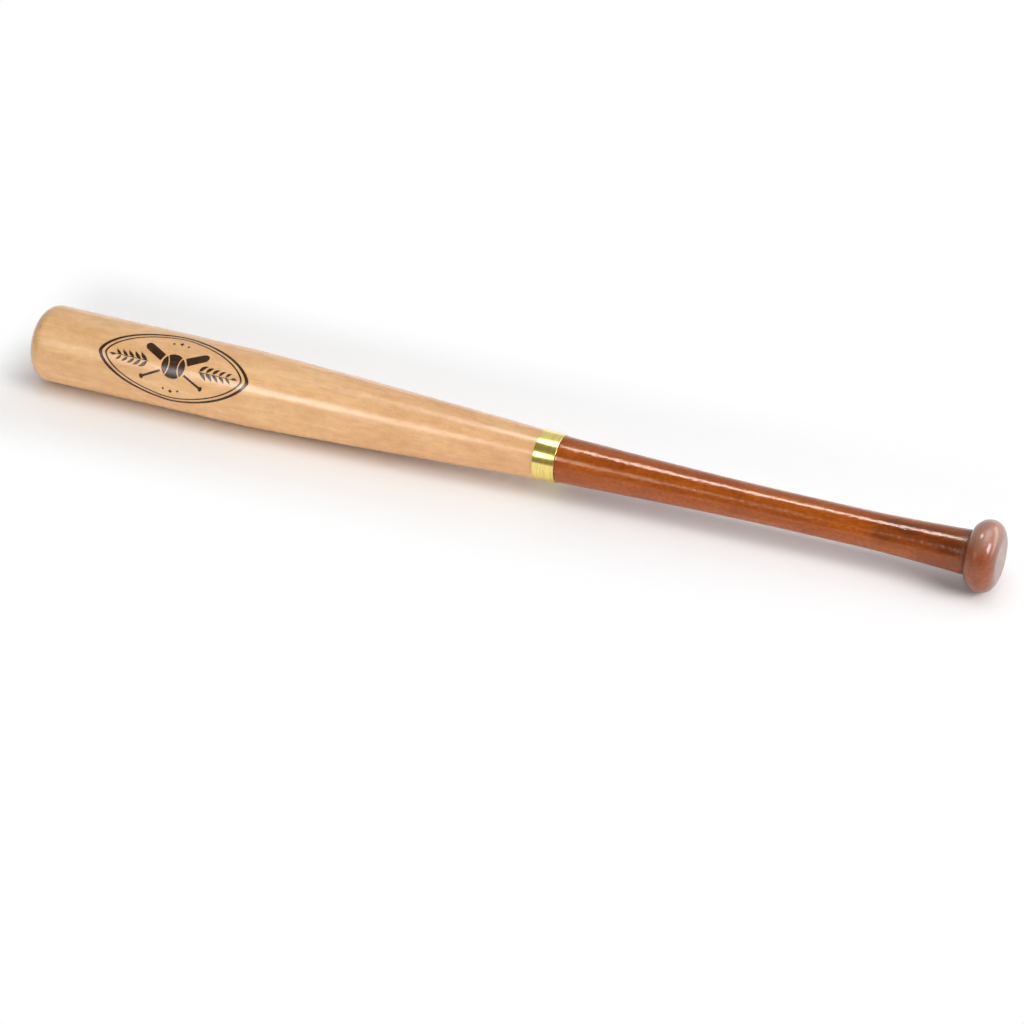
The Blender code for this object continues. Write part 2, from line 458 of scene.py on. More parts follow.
# A clear lacquer film: smudges that change its gloss, and a height that is not quite flat,
# with brush-long waves along the bat, short ones round it, nibs of dust, and a share of
# the relief that shows through from below
def makeLacquerFilm():
    tree, given, made = startGroup(
        "lacquerFilm",
        {
            "Place": (0, 0, 0), "Wave Along": 0.012, "Wave Round": 0.006,
            "Relief": 0.0, "Relief Share": 0.0, "Least Roughness": 0.1, "Most Roughness": 0.2,
        },
        ("Roughness", "Height"),
    )
    place = given["Place"]
    swell = cloud(tree, place, perSize(tree, given["Wave Along"], given["Wave Round"]))
    nibs = put(tree, "TexVoronoi", {"Vector": place, "Scale": lacquer["dustScale"]})
    pick = put(tree, "SeparateColor", {0: nibs.outputs["Color"]}).outputs[0]
    dot = fade(tree, nibs.outputs["Distance"], 0.0, lacquer["dustSize"], 1.0, 0.0)
    dust = times(tree, dot, calc(tree, "GREATER_THAN", pick, lacquer["dustPick"]))
    film = calc(tree, "ADD", swell, times(tree, dust, lacquer["dustHeight"]))
    relief = times(tree, given["Relief"], given["Relief Share"])
    smudge = cloud(tree, place, lacquer["smudge"], 3.0, 0.6)
    fill(tree, made, {
        "Roughness": fade(
            tree, smudge, *noiseMiddle, given["Least Roughness"], given["Most Roughness"]),
        "Height": calc(tree, "ADD", relief, film),
    })
    return tree


# Fine lines that run round a turned piece, as a lathe or a polishing cloth leaves them,
# and bands several times as wide
def makeTurnedLines():
    tree, given, made = startGroup(
        "turnedLines", {"Place": (0, 0, 0), "Pitch": 0.0004}, ("Lines", "Bands"))
    axes = axesOf(tree, given["Place"])
    radius = vectorCalc(tree, "LENGTH", fromAxes(tree, 0.0, axes["Y"], axes["Z"]))
    angle = calc(tree, "ARCTAN2", axes["Z"], axes["Y"])
    for label, factor, detail in (("Lines", 1.0, 2.0), ("Bands", 7.0, 1.0)):
        pitch = times(tree, given["Pitch"], factor)
        length = calc(tree, "DIVIDE", axes["X"], pitch)
        spot = fromAxes(tree, length, calc(tree, "DIVIDE", radius, pitch), times(tree, angle, 0.5))
        lines = put(tree, "TexNoise", {"Vector": spot, "Scale": 1.0, "Detail": detail}).outputs[0]
        fill(tree, made, {label: lines})
    return tree


beechFigure = makeBeechFigure()
woodTone = makeWoodTone()
lacquerFilm = makeLacquerFilm()
turnedLines = makeTurnedLines()
print("node groups made")


def startMaterial(name):
    material = bpy.data.materials.new(name)
    material.use_nodes = True
    tree = material.node_tree
    return material, tree, tree.nodes["Principled BSDF"], put(tree, "TexCoord").outputs["Object"]


# A piece's wood: its colour, and the figure's masks
def growWood(tree, place, piece):
    figure = put(tree, "Group", {
        "Place": place, "Facing": put(tree, "TexCoord").outputs["Normal"],
        "Pith Y": piece["pith"][0], "Pith Z": piece["pith"][1], "Ring Width": piece["ringWidth"],
    }, node_tree=beechFigure).outputs
    along, around, share = piece["mottle"]
    sockets = {
        "Place": place, "Pale": piece["pale"], "Warm": piece["warm"], "Dark": piece["dark"],
        "Mottle Along": along, "Mottle Round": around, "Mottle Share": share,
        "Blotch": figure["Blotch"],
    }
    for part, strength in piece["strength"].items():
        sockets[part] = figure[part]
        sockets[part + " Share"] = strength
    return put(tree, "Group", sockets, node_tree=woodTone).outputs["Colour"], figure


# A piece's lacquer: its roughness, and its height with any relief under it
def layFilm(tree, place, piece, relief=0.0):
    along, around, height = piece["wave"]
    least, most = piece["gloss"]
    film = put(tree, "Group", {
        "Place": place, "Wave Along": along, "Wave Round": around,
        "Relief": relief, "Relief Share": piece["relief"],
        "Least Roughness": least, "Most Roughness": most,
    }, node_tree=lacquerFilm).outputs
    return {"Roughness": film["Roughness"], "Normal": bumpFrom(tree, film["Height"], height)}


def bumpFrom(tree, height, distance):
    return put(tree, "Bump", {"Height": height, "Distance": distance}).outputs[0]


# Barrel: pale beech under clear satin lacquer

barrel = {
    "sides": 288,
    "uneven": 0.00007,
    "swellsPerMetre": 24,
    "pith": (0.050, -0.046),
    "ringWidth": 0.0031,
    "pale": (0.765, 0.460, 0.220, 1),
    "warm": (0.697, 0.392, 0.174, 1),
    "dark": (0.46, 0.22, 0.085, 1),
    "strength": {"Rings": 0.10, "Rays": 0.24, "Curl": 0.12, "Fibre": 0.06},
    "mottle": (0.0075, 0.0042, 0.045),  # along, round, share
    "end": {"tone": (0.56, 0.33, 0.17, 1), "share": 0.5},
    "nearBand": {"from": -0.53, "full": -0.43, "tone": (0.93, 0.885, 0.87, 1)},  # multiplied on
    "speck": {
        "x": -0.7291, "angle": 56, "radius": 0.0011, "share": 0.7, "tone": (0.16, 0.07, 0.03, 1),
    },
    "streak": {"x": -0.503, "angle": 62, "length": 0.036, "width": 0.0004, "share": 0.55},
    "skinFrom": 0.02,  # radius past which the outline is the long side
    "gloss": (0.20, 0.29),  # least and most roughness
    "wave": (0.018, 0.008, 0.00004),  # along, round, height
    "relief": 0.25,  # how much of the fibres the lacquer shows
}

barrelLine = [p for p in fineOutline("barrel")[0] if p.y > barrel["skinFrom"]]


def barrelRadius(x):
    for low, high in zip(barrelLine, barrelLine[1:]):
        if low.x <= x <= high.x:
            return low.lerp(high, (x - low.x) / (high.x - low.x)).y
    return barrelLine[-1].y


# A place on the barrel's skin, by its angle up from -Y
def onSkin(x, angle, lift=0.0):
    turn = radians(angle)
    radius = barrelRadius(x) + lift
    return (x, -radius * cos(turn), radius * sin(turn))


def makeNaturalBeech():
    material, tree, shader, place = startMaterial("naturalBeech")
    colour, figure = growWood(tree, place, barrel)
    nearBand = barrel["nearBand"]
    darker = fade(tree, axesOf(tree, place)["X"], nearBand["from"], nearBand["full"])
    colour = blend(tree, darker, colour, nearBand["tone"], "MULTIPLY")
    end = barrel["end"]
    colour = blend(tree, times(tree, figure["End Grain"], end["share"]), colour, end["tone"])
    speck = barrel["speck"]
    spot = spotAt(tree, place, onSkin(speck["x"], speck["angle"]), speck["radius"])
    colour = blend(tree, times(tree, spot, speck["share"]), colour, speck["tone"])
    streak = barrel["streak"]
    middle = onSkin(streak["x"], streak["angle"])
    away = vectorCalc(tree, "SUBTRACT", place, middle)
    shrink = (2 / streak["length"], 1 / streak["width"], 1 / streak["width"])
    inLine = vectorCalc(tree, "LENGTH", scaled(tree, away, shrink))
    line = fade(tree, inLine, 0.4, 1.0, streak["share"], 0.0)
    colour = blend(tree, line, colour, barrel["dark"])
    fill(tree, shader, {"Base Color": colour, **layFilm(tree, place, barrel, figure["Fibre"])})
    return material


barrelPiece = turnPiece("barrel", barrel, makeNaturalBeech())
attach(barrelPiece, "root")
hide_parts("barrel")
print("barrel turned")


# Handle: the same wood under a red-brown stain that takes unevenly, and gloss lacquer

handle = {
    "sides": 224,
    "uneven": 0.00005,
    "swellsPerMetre": 30,
    "pith": (-0.060, -0.038),
    "ringWidth": 0.0034,
    "pale": (0.340, 0.075, 0.0052, 1),
    "warm": (0.268, 0.050, 0.0026, 1),
    "dark": (0.120, 0.018, 0.0013, 1),
    "strength": {"Rings": 0.07, "Rays": 0.22, "Curl": 0.12, "Fibre": 0.10},
    "mottle": (0.0030, 0.0016, 0.15),
    "pooled": (0.095, 0.014, 0.0032, 1),
    "nearNeck": {"from": 0.062, "full": 0.016, "share": 0.48},  # stain deepens slowly
    "neckRing": {"from": 0.0055, "full": 0.0004, "share": 0.9},  # and darker in a narrow ring right at the knob
    "thinLine": {"width": 0.0007, "share": 0.4},  # where the stain gathers at the band
    "pool": {
        "from": 0.078, "full": 0.054, "angle": 50, "radius": 0.0145, "core": 0.35,
        "reach": 0.0155, "share": 0.9,
    },
    "poolEdge": {"scale": (45, 130, 130), "edge": (0.34, 0.60), "least": 0.55},
    "gloss": (0.07, 0.13),
    "dullNeck": {"from": 0.010, "full": 0.0005, "added": 0.20},  # out of polishing's reach
    "shine": 0.70,
    "shineTint": (1.0, 0.78, 0.62, 1),  # the lacquer itself is tinted
    "wave": (0.0045, 0.0025, 0.00016),
    "relief": 0.22,
}


# Share of stain that pooled on the upper front of the flare and ran out along the grain
def stainPool(tree, place, neck):
    pool = handle["pool"]
    length = fade(tree, axesOf(tree, place)["X"], neck - pool["from"], neck - pool["full"])
    turn = radians(pool["angle"])
    middle = (0.0, -pool["radius"] * cos(turn), pool["radius"] * sin(turn))
    away = vectorCalc(tree, "DISTANCE", scaled(tree, place, (0, 1, 1)), middle)
    side = fade(tree, away, pool["reach"] * pool["core"], pool["reach"], 1.0, 0.0)
    rags = handle["poolEdge"]
    ragged = fade(tree, cloud(tree, place, rags["scale"], 3.0), *rags["edge"], rags["least"], 1.0)
    return times(tree, times(tree, length, side), ragged)


def makeStainedHandle():
    material, tree, shader, place = startMaterial("stainedHandle")
    colour, figure = growWood(tree, place, handle)
    along = axesOf(tree, place)["X"]
    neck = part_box("handle")[1].x
    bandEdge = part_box("brass_band")[1].x
    pool = times(tree, stainPool(tree, place, neck), handle["pool"]["share"])
    thinLine = handle["thinLine"]
    atBand = fade(tree, along, bandEdge, bandEdge + thinLine["width"], thinLine["share"], 0.0)
    dark = calc(tree, "MAXIMUM", atBand, pool)
    for part in ("nearNeck", "neckRing"):
        ring = handle[part]
        stain = fade(tree, along, neck - ring["from"], neck - ring["full"], 0.0, ring["share"])
        dark = calc(tree, "MAXIMUM", dark, stain)
    film = layFilm(tree, place, handle, figure["Fibre"])
    dullNeck = handle["dullNeck"]
    dullFrom = neck - dullNeck["from"]
    dull = fade(tree, along, dullFrom, neck - dullNeck["full"], 0.0, dullNeck["added"])
    fill(tree, shader, {
        "Base Color": blend(tree, dark, colour, handle["pooled"]),
        "Roughness": calc(tree, "ADD", film["Roughness"], dull),
        "Normal": film["Normal"],
        "Specular IOR Level": handle["shine"],
        "Specular Tint": handle["shineTint"],
    })
    return material


handlePiece = turnPiece("handle", handle, makeStainedHandle())
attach(handlePiece, "root")
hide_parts("handle")
print("handle turned")


# Knob: end grain drinks the stain, and the lathe's rings show on its face

knob = {
    "sides": 224,
    "uneven": 0.00005,
    "swellsPerMetre": 60,
    "pith": (-0.045, 0.050),
    "ringWidth": 0.0028,
    "pale": (0.250, 0.060, 0.0140, 1),
    "warm": (0.198, 0.042, 0.0090, 1),
    "dark": (0.10, 0.021, 0.006, 1),
    "strength": {"Rings": 0.14, "Rays": 0.25, "Curl": 0.15, "Fibre": 0.08},
    "mottle": (0.0020, 0.0020, 0.12),
    "end": {"tone": (0.18, 0.074, 0.044, 1), "share": 0.6},
    "latheRings": {"pitch": 0.0005, "edge": (0.4, 0.7), "share": 0.18},  # on the end face
    # painted sheen: a paler tone on the upper side, in place of reflected overhead light
    "paintedSheen": {"low": 0.012, "high": 0.0255, "share": 0.24, "tone": (0.62, 0.42, 0.34, 1)},
    "seat": {"width": 0.0016, "share": 0.85},  # darker at the neck, where the knob meets the handle
    "gloss": (0.44, 0.54),
    "shine": 0.22,  # of the stained wood itself, under the coat
    "coat": {"weight": 0.80, "onEnd": 0.95, "roughness": 0.12},
    "worn": {"middle": (-0.0132, -0.0190, 0.0132), "radius": 0.0085, "share": 0.85},
    "wave": (0.0080, 0.0045, 0.00004),
    "relief": 0.3,  # of the lathe's lines
}


def makeStainedKnob():
    material, tree, shader, place = startMaterial("stainedKnob")
    colour, figure = growWood(tree, place, knob)
    endGrain = figure["End Grain"]
    end = knob["end"]
    colour = blend(tree, times(tree, endGrain, end["share"]), colour, end["tone"])
    latheRings = knob["latheRings"]
    sockets = {"Place": place, "Pitch": latheRings["pitch"]}
    turned = put(tree, "Group", sockets, node_tree=turnedLines).outputs
    ringed = fade(tree, turned["Bands"], *latheRings["edge"], 0.0, latheRings["share"])
    colour = blend(tree, times(tree, endGrain, ringed), colour, knob["dark"])
    axes = axesOf(tree, place)
    paintedSheen = knob["paintedSheen"]  # painted sheen: the upper side is paler, standing in for the soft reflection of the overhead light
    sheenShare = fade(tree, axes["Z"], paintedSheen["low"], paintedSheen["high"], 0.0, paintedSheen["share"])
    colour = blend(tree, sheenShare, colour, paintedSheen["tone"])
    seat = knob["seat"]
    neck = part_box("knob")[0].x
    darkAtNeck = fade(tree, axes["X"], neck, neck + seat["width"], seat["share"], 0.0)
    colour = blend(tree, darkAtNeck, colour, handle["pooled"])
    worn = knob["worn"]  # coat rubbed thin
    rubbed = times(tree, spotAt(tree, place, worn["middle"], worn["radius"]), worn["share"])
    coat = knob["coat"]
    weight = fade(tree, endGrain, 0.0, 1.0, coat["weight"], coat["onEnd"])
    fill(tree, shader, {
        "Base Color": colour,
        **layFilm(tree, place, knob, times(tree, turned["Lines"], endGrain)),
        "Specular IOR Level": knob["shine"],
        "Coat Weight": times(tree, weight, calc(tree, "SUBTRACT", 1.0, rubbed)),
        "Coat Roughness": coat["roughness"],
    })
    return material


knobPiece = turnPiece("knob", knob, makeStainedKnob())
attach(knobPiece, "root")
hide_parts("knob")
print("knob turned")


# Brass band: thin sheet, polished round and round, a little dull at its rims

band = {
    "sides": 224,
    "uneven": 0.00003,
    "swellsPerMetre": 90,
    "bright": (0.96, 0.77, 0.26, 1),
    "dull": (0.52, 0.40, 0.11, 1),
    "rim": {"width": 0.0009, "share": 0.35},  # dulling that reaches in from each rim
    "blotch": {"scale": (150, 150, 150), "edge": (0.55, 0.80), "share": 0.22},
    "lines": {"pitch": 0.0006, "edge": (0.40, 0.66), "share": 0.36, "height": 0.00001},
    "gloss": (0.14, 0.20),
    "dullAdds": 0.12,  # roughness where the brass is dull
}


def makePolishedBrass():
    material, tree, shader, place = startMaterial("polishedBrass")
    lines = band["lines"]
    sockets = {"Place": place, "Pitch": lines["pitch"]}
    turned = put(tree, "Group", sockets, node_tree=turnedLines).outputs
    low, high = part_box("brass_band")
    along = axesOf(tree, place)["X"]
    fromLow = calc(tree, "SUBTRACT", along, low.x)
    fromHigh = calc(tree, "SUBTRACT", high.x, along)
    rim = band["rim"]
    blotch = band["blotch"]
    fromRim = calc(tree, "MINIMUM", fromLow, fromHigh)
    dull = fade(tree, fromRim, 0.0, rim["width"], rim["share"], 0.0)
    patches = cloud(tree, place, blotch["scale"], 3.0)
    for pattern, part in ((patches, blotch), (turned["Lines"], lines)):
        dull = calc(tree, "ADD", dull, fade(tree, pattern, *part["edge"], 0.0, part["share"]))
    dull = calc(tree, "MINIMUM", dull, 1.0)
    roughness = fade(tree, turned["Bands"], *noiseMiddle, *band["gloss"])
    fill(tree, shader, {
        "Base Color": blend(tree, dull, band["bright"], band["dull"]),
        "Metallic": 1.0,
        "Roughness": calc(tree, "ADD", roughness, times(tree, dull, band["dullAdds"])),
        "Normal": bumpFrom(tree, turned["Lines"], lines["height"]),
    })
    return material


bandPiece = turnPiece("brass_band", band, makePolishedBrass())
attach(bandPiece, "root")
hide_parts("brass_band")
print("band made")


# Dowels: bare wood, pressed in their flutes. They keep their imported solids.

dowel = {
    "pith": (0.03, 0.03),
    "ringWidth": 0.0022,
    "pale": (0.72, 0.50, 0.30, 1),
    "warm": (0.62, 0.40, 0.21, 1),
    "dark": (0.40, 0.22, 0.10, 1),
    "strength": {"Rings": 0.35, "Rays": 0.35, "Curl": 0.05, "Fibre": 0.09},
    "mottle": (0.0030, 0.0020, 0.0),
    "gloss": (0.55, 0.75),
    "fibreHeight": 0.00008,
}


def makeDowelWood():
    material, tree, shader, place = startMaterial("dowelWood")
    colour, figure = growWood(tree, place, dowel)
    fill(tree, shader, {
        "Base Color": colour,
        "Roughness": fade(tree, figure["Fibre"], *noiseMiddle, *dowel["gloss"]),
        "Normal": bumpFrom(tree, figure["Fibre"], dowel["fibreHeight"]),
    })
    return material


dowelWood = makeDowelWood()
for dowelName in ("joint_dowel", "knob_dowel"):
    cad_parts[dowelName].material_slots[0].material = dowelWood
print("dowels finished")


# Emblem: a plain crossed-bats mark, inked on the barrel under the lacquer

emblem = {
    "middleX": -0.6185,
    "angle": 41.5,  # degrees up from -Y
    "halfLength": 0.060,
    "halfHeight": 0.0284,
    "corner": 1.55,  # power of the border's outline: 1 is a lozenge, 2 an oval
    "pointInset": 1.6,  # how much further the lines are inset at the border's points
    "lines": ((0.0, 0.00175), (0.0032, 0.00100)),  # inset and width of each border line
    "ball": {
        "radius": 0.0092, "gap": 0.0009, "seam": 0.40, "seamBow": 0.36,
        "stitchPitch": 0.0013, "stitchShare": 0.4, "bare": 0.00034, "stitch": 0.00062,
    },
    "bat": {
        "half": 0.0280, "tilt": 27, "girth": 1.18, "knob": 0.0017, "knobEnd": 0.05,
        "grip": 0.00072, "swell": 0.00185, "swellFrom": 0.30, "swellFull": 0.72, "roundFrom": 0.93,
    },
    "spray": {
        "start": 0.0200, "end": 0.0460, "stem": 0.00024, "pairs": 5, "tilt": 40,
        "foot": 0.00042, "firstLeaf": 0.001, "leaf": 0.0078, "shrink": 0.0028, "width": 0.34,
        "tip": (0.0052, 0.0018),
    },
    "dots": {"step": 0.0058, "height": 0.0190, "drop": 0.0012, "size": 0.0011, "middle": 0.0016},
    "lift": 0.00003,  # ink's thickness above the wood
    "sink": 0.00006,  # how deep its underside lies in the wood
    "thinnest": 0.0002,
    "across": 0.0008,  # widest facet round the barrel
    "ink": (0.036, 0.012, 0.004, 1),
    "pores": {"scale": (160, 1500, 1500), "edge": (0.60, 0.78), "share": 0.3},  # bare wood
}


# A point of the flat drawing laid on the barrel: u along it, v round it and upwards
def onBarrel(point, lift):
    x = emblem["middleX"] + point.x
    return onSkin(x, emblem["angle"] + degrees(point.y / barrelRadius(x)), lift)


# Rows of points across each stroke, as one closed skin
def inkRows(shape, rows, closed=False):
    top = [[shape.verts.new(onBarrel(p, emblem["lift"])) for p in row] for row in rows]
    under = [[shape.verts.new(onBarrel(p, -emblem["sink"])) for p in row] for row in rows]
    pairs = [(i, i + 1) for i in range(len(rows) - 1)]
    if closed:
        pairs.append((len(rows) - 1, 0))
    last = len(rows[0]) - 1
    for i, j in pairs:
        for k in range(last):
            shape.faces.new((top[i][k], top[i][k + 1], top[j][k + 1], top[j][k]))
            shape.faces.new((under[i][k], under[j][k], under[j][k + 1], under[i][k + 1]))
        shape.faces.new((top[i][0], top[j][0], under[j][0], under[i][0]))
        shape.faces.new((top[j][last], top[i][last], under[i][last], under[j][last]))
    if not closed:
        for i in (0, len(rows) - 1):
            for k in range(last):
                shape.faces.new((top[i][k], under[i][k], under[i][k + 1], top[i][k + 1]))


def rowBetween(start, end, count):
    return [start.lerp(end, k / count) for k in range(count + 1)]


# A stroke along its middle points, as wide at each as its width says
def stroke(shape, middles, halves):
    count = max(1, ceil(2 * max(halves) / emblem["across"]))
    rows = []
    for i, here in enumerate(middles):
        along = middles[min(i + 1, len(middles) - 1)] - middles[max(i - 1, 0)]
        side = Vector((-along.y, along.x)).normalized() * halves[i]
        rows.append(rowBetween(here - side, here + side, count))
    inkRows(shape, rows)


def borderPoint(share, inset):
    angle = 2 * pi * share
    power = 2 / emblem["corner"]
    u = copysign(abs(cos(angle)) ** power, cos(angle))
    v = copysign(abs(sin(angle)) ** power, sin(angle))
    halfLength = emblem["halfLength"] - inset * emblem["pointInset"]
    return Vector((u * halfLength, v * (emblem["halfHeight"] - inset)))


def inkBorder(material):
    shape = bmesh.new()
    steps = 240
    for inset, width in emblem["lines"]:
        rows = []
        for i in range(steps):
            share = (i + 0.5) / steps
            rows.append([borderPoint(share, inset + width), borderPoint(share, inset)])
        inkRows(shape, rows, True)
    return finishPiece("emblem_border", shape, material)


# Half width of the little bat, from its knob at 0 to its barrel end at 1
def batHalfWidth(share):
    bat = emblem["bat"]
    if share < bat["knobEnd"]:
        return bat["knob"] * sqrt(max(0.02, 1 - (2 * share / bat["knobEnd"] - 1) ** 2))
    swell = min(1, max(0, (share - bat["swellFrom"]) / (bat["swellFull"] - bat["swellFrom"])))
    half = bat["grip"] + bat["swell"] * swell * swell * (3 - 2 * swell)
    rounding = max(0, (share - bat["roundFrom"]) / (1 - bat["roundFrom"]))
    return half * sqrt(max(0.02, 1 - rounding ** 2))


def inkBats(material):
    shape = bmesh.new()
    steps = 90
    bat = emblem["bat"]
    clear = emblem["ball"]["radius"] + emblem["ball"]["gap"]
    tilt = radians(bat["tilt"])
    for side in (1, -1):
        lean = Vector((side * cos(tilt), sin(tilt)))
        for wanted in (-1, 1):
            middles = []
            halves = []
            for i in range(steps + 1):
                reach = (2 * i / steps - 1) * bat["half"]
                if reach * wanted > clear:
                    middles.append(lean * reach)
                    halves.append(batHalfWidth(i / steps) * bat["girth"])
            stroke(shape, middles, halves)
    return finishPiece("emblem_bats", shape, material)


# A solid ball with two bare seams, whose edges are notched by the stitches
def inkBall(material):
    shape = bmesh.new()
    ball = emblem["ball"]
    radius = ball["radius"]
    steps = 84
    left, middle, right = [], [], []
    for i in range(steps + 1):
        v = radius * 0.985 * (2 * i / steps - 1)
        chord = sqrt(radius * radius - v * v)
        seam = radius * (ball["seam"] + ball["seamBow"] * (v / radius) ** 2)
        stitched = (v / ball["stitchPitch"]) % 1 < ball["stitchShare"]
        half = ball["stitch"] if stitched else ball["bare"]
        inner = min(seam - half, chord)
        middle.append(rowBetween(Vector((-inner, v)), Vector((inner, v)), 8))
        if chord > seam + half + emblem["thinnest"]:
            left.append(rowBetween(Vector((-chord, v)), Vector((-seam - half, v)), 4))
            right.append(rowBetween(Vector((seam + half, v)), Vector((chord, v)), 4))
    for rows in (left, middle, right):
        inkRows(shape, rows)
    return finishPiece("emblem_ball", shape, material)


def inkLeaf(shape, base, angle, length, width):
    lean = Vector((cos(angle), sin(angle)))
    bow = Vector((-lean.y, lean.x)) * length * 0.10
    middles = []
    halves = []
    for i in range(13):
        share = i / 12
        middles.append(base + lean * length * share + bow * sin(pi * share))
        halves.append(width / 2 * max(0.06, sin(pi * share ** 0.8)))
    stroke(shape, middles, halves)


def inkSprays(material):
    shape = bmesh.new()
    spray = emblem["spray"]
    start = spray["start"]
    length = spray["end"] - start
    for side in (1, -1):
        stem = [Vector((side * (start + length * i / 20), 0)) for i in range(21)]
        stroke(shape, stem, [spray["stem"]] * len(stem))
        for i in range(spray["pairs"]):
            share = i / spray["pairs"]
            u = side * (start + spray["firstLeaf"] + length * share)
            leaf = spray["leaf"] - spray["shrink"] * share
            for up in (1, -1):
                tilt = radians(spray["tilt"]) * up
                angle = tilt if side > 0 else pi - tilt
                inkLeaf(shape, Vector((u, spray["foot"] * up)), angle, leaf, leaf * spray["width"])
        inkLeaf(shape, Vector((side * spray["end"], 0)), 0 if side > 0 else pi, *spray["tip"])
    dots = emblem["dots"]
    for up in (1, -1):
        for step, size in ((-1, dots["size"]), (0, dots["middle"]), (1, dots["size"])):
            height = up * (dots["height"] - abs(step) * dots["drop"])
            centre = Vector((step * dots["step"], height))
            shares = [2 * i / 8 - 1 for i in range(9)]
            ends = [centre + Vector((size * share, 0)) for share in shares]
            stroke(shape, ends, [max(0.00006, size * (1 - abs(share))) for share in shares])
    return finishPiece("emblem_sprays", shape, material)


def makeEmblemInk():
    material, tree, shader, place = startMaterial("emblemInk")
    pores = emblem["pores"]
    bare = fade(tree, cloud(tree, place, pores["scale"]), *pores["edge"], 0.0, pores["share"])
    fill(tree, shader, {
        "Base Color": blend(tree, bare, emblem["ink"], barrel["dark"]),
        **layFilm(tree, place, barrel),
    })
    return material


emblemInk = makeEmblemInk()
for inkPiece in (inkBorder, inkBats, inkBall, inkSprays):
    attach(inkPiece(emblemInk), "root")
print("emblem inked")


# Floor: pale paper that turns pure white away from the bat and keeps its shadow. It ends
# close in front of the bat, so the wood and the brass mirror the dark room past its edge.

paper = {
    "half": 5.0,
    "front": 0.32,
    "under": 0.00003,  # below the lowest wood
    "colour": (0.92, 0.92, 0.923, 1),
    "clouds": (5, 5, 5),
    "darkest": 0.99,  # of the paper's faint clouds
    "roughness": 0.7,
    "shine": 0.2,
    "middleY": 0.025,
    "whiteAside": (0.078, 0.135),  # from the middle line
    "whitePastEnd": (0.000, 0.056),  # from the bat's ends
}


def makeFloorPaper():
    material, tree, shader, place = startMaterial("floorPaper")
    axes = axesOf(tree, place)
    middle = (cadLow.x + cadHigh.x) / 2
    half = (cadHigh.x - cadLow.x) / 2
    fromMiddle = calc(tree, "ABSOLUTE", calc(tree, "SUBTRACT", axes["X"], middle))
    pastEnd = calc(tree, "SUBTRACT", fromMiddle, half)
    aside = calc(tree, "ABSOLUTE", calc(tree, "SUBTRACT", axes["Y"], paper["middleY"]))
    nearAside = fade(tree, aside, *paper["whiteAside"], 1.0, 0.0)
    nearEnd = fade(tree, pastEnd, *paper["whitePastEnd"], 1.0, 0.0)
    white = calc(tree, "SUBTRACT", 1.0, times(tree, nearAside, nearEnd))
    patches = cloud(tree, place, paper["clouds"])
    clouding = fade(tree, patches, *noiseMiddle, paper["darkest"], 1.0)
    fill(tree, shader, {
        "Base Color": blend(tree, 1.0, paper["colour"], grey(tree, clouding), "MULTIPLY"),
        "Roughness": paper["roughness"],
        "Specular IOR Level": paper["shine"],
    })
    rays = put(tree, "LightPath").outputs
    seen = calc(tree, "MAXIMUM", rays["Is Camera Ray"], rays["Is Glossy Ray"])
    seen = calc(tree, "MAXIMUM", seen, rays["Is Transmission Ray"])
    glow = put(tree, "Emission", {"Color": (1, 1, 1, 1), "Strength": 1.0}).outputs[0]
    share = times(tree, white, seen)
    mix = put(tree, "MixShader", {0: share, 1: shader.outputs[0], 2: glow})
    tree.links.new(mix.outputs[0], tree.nodes["Material Output"].inputs["Surface"])
    return material


# The bat lies on its barrel and its knob, so the floor leans a little along X
def layFloor():
    barrelFoot = max(fineOutline("barrel")[0], key=lambda p: p.y)
    knobFoot = max(fineOutline("knob")[0], key=lambda p: p.y)
    rise = (barrelFoot.y - knobFoot.y) / (knobFoot.x - barrelFoot.x)
    level = -knobFoot.y - rise * knobFoot.x - paper["under"]
    half = paper["half"]
    front = -paper["front"]
    shape = bmesh.new()
    corners = []
    for x, y in ((-half, front), (half, front), (half, half), (-half, half)):
        corners.append(shape.verts.new((x, y, level + rise * x)))
    shape.faces.new(corners)
    piece = finishPiece("floor", shape, makeFloorPaper())


layFloor()
print("floor laid")


# Studio: softboxes that show only in gloss, fill lamps that give only plain light, a darker
# room in front and a pale wall behind. An angle goes up from -Y round the bat, a lamp faces
# its own X on the bat's axis or else aimX, and shares run over a box's width from its low-X end.

